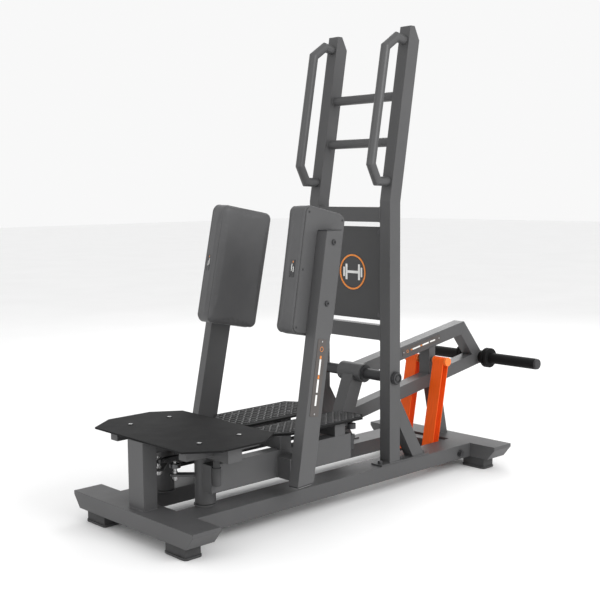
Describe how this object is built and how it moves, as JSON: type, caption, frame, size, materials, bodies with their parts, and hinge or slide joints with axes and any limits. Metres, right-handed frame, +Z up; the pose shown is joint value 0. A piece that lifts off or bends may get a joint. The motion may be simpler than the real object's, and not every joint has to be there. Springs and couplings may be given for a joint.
{
  "type": "standing hip abduction machine",
  "caption": "Plate-loaded standing hip machine: two swinging pad arms with foot plates, linked by rods to a weight lever, with a step, grab handles and a ladder.",
  "frame": {"origin": "centre of the footprint on the floor", "axes": "+Z up, +Y from the step at the front to the weight horns at the rear, +X to the right of a user facing +Y"},
  "size_m": [0.73, 2.027, 1.875],
  "materials": {
    "frame_charcoal": "fine-textured charcoal powder coat, satin",
    "panel_charcoal": "fine-textured charcoal powder coat, satin",
    "grip_charcoal": "satin charcoal coat on the grab handles",
    "black_paint": "black textured powder coat",
    "foot_rubber": "matt black rubber",
    "black_plastic": "moulded black plastic, fine grain",
    "zinc_steel": "zinc-plated and turned steel",
    "link_steel": "blackened steel rods and bolts",
    "orange_plastic": "orange moulded plastic",
    "orange_band": "orange elastic rubber band",
    "pad_vinyl": "dark grey synthetic leather, fine grain"
  },
  "bodies": {
    "frame": {"base_crossbeams": "frame_charcoal", "base_rails": "frame_charcoal", "rubber_feet": "foot_rubber", "front_post": "frame_charcoal", "platform_frame": "frame_charcoal", "step_platform": "black_paint", "pivot_plates": "frame_charcoal", "pivot_shafts": "zinc_steel", "uprights": "frame_charcoal", "upright_braces": "frame_charcoal", "upright_base_plates": "frame_charcoal", "frame_bolts": "link_steel", "lower_crossbeam": "frame_charcoal", "upper_crossbeam": "frame_charcoal", "back_panel": "panel_charcoal", "panel_emblem": "orange_plastic", "ladder_rungs": "frame_charcoal", "grab_handles": "grip_charcoal", "main_shaft": "zinc_steel", "shaft_collars": "black_plastic", "band_anchor": "frame_charcoal", "lower_band_spools": "orange_plastic", "resistance_bands": "orange_band", "lever_stop_post": "frame_charcoal", "stop_bumpers": "foot_rubber"},
    "lever": {"lever_hub": "frame_charcoal", "hub_bearings": "black_plastic", "lever_down_arm": "frame_charcoal", "lever_upper_tube": "frame_charcoal", "lever_end_tube": "frame_charcoal", "lever_lower_tube": "frame_charcoal", "lever_strut": "frame_charcoal", "band_peg": "zinc_steel", "upper_band_spools": "orange_plastic", "weight_horns": "black_paint", "horn_collars": "black_paint", "horn_end_caps": "black_plastic", "rod_pin": "zinc_steel"},
    "right_arm": {"right_pivot_tube": "frame_charcoal", "right_swing_beam": "frame_charcoal", "right_crank": "frame_charcoal", "right_ball_stud": "zinc_steel", "right_pad_arm": "frame_charcoal", "right_foot_supports": "frame_charcoal", "right_foot_plate": "black_paint", "right_pad_plate": "frame_charcoal", "right_hip_pad": "pad_vinyl", "right_arm_fittings": "black_plastic"},
    "right_rod": {"right_link_rod": "link_steel"},
    "left_arm": {"left_pivot_tube": "frame_charcoal", "left_swing_beam": "frame_charcoal", "left_crank": "frame_charcoal", "left_ball_stud": "zinc_steel", "left_pad_arm": "frame_charcoal", "left_foot_supports": "frame_charcoal", "left_foot_plate": "black_paint", "left_pad_plate": "frame_charcoal", "left_hip_pad": "pad_vinyl", "left_arm_fittings": "black_plastic"},
    "left_rod": {"left_link_rod": "link_steel"}
  },
  "joints": [
    {"name": "lever_lift", "type": "hinge", "parent": "frame", "child": "lever", "pos_m": [0, 0.132, 0.462], "axis": [1, 0, 0], "range_deg": [0, 12], "deforming": ["resistance_bands"]},
    {"name": "right_arm_swing", "type": "hinge", "parent": "frame", "child": "right_arm", "pos_m": [0.125, -0.769, 0.2], "axis": [0, 0, -1], "range_deg": [0, 29.5]},
    {"name": "right_rod_pivot", "type": "hinge", "parent": "lever", "child": "right_rod", "pos_m": [0.05, 0.04661, 0.25275], "axis": [0.9895, 0, 0.1445], "range_deg": [-13.5, 0]},
    {"name": "left_arm_swing", "type": "hinge", "parent": "frame", "child": "left_arm", "pos_m": [-0.125, -0.769, 0.2], "axis": [0, 0, 1], "range_deg": [0, 29.5]},
    {"name": "left_rod_pivot", "type": "hinge", "parent": "lever", "child": "left_rod", "pos_m": [-0.05, 0.04661, 0.25275], "axis": [0.9895, 0, -0.1445], "range_deg": [-13.5, 0]}
  ],
  "couplings": [
    {"joint": "right_arm_swing", "follows": "lever_lift", "ratio": 2.43},
    {"joint": "right_rod_pivot", "follows": "lever_lift", "ratio": -1.095},
    {"joint": "left_arm_swing", "follows": "lever_lift", "ratio": 2.43},
    {"joint": "left_rod_pivot", "follows": "lever_lift", "ratio": -1.095}
  ]
}
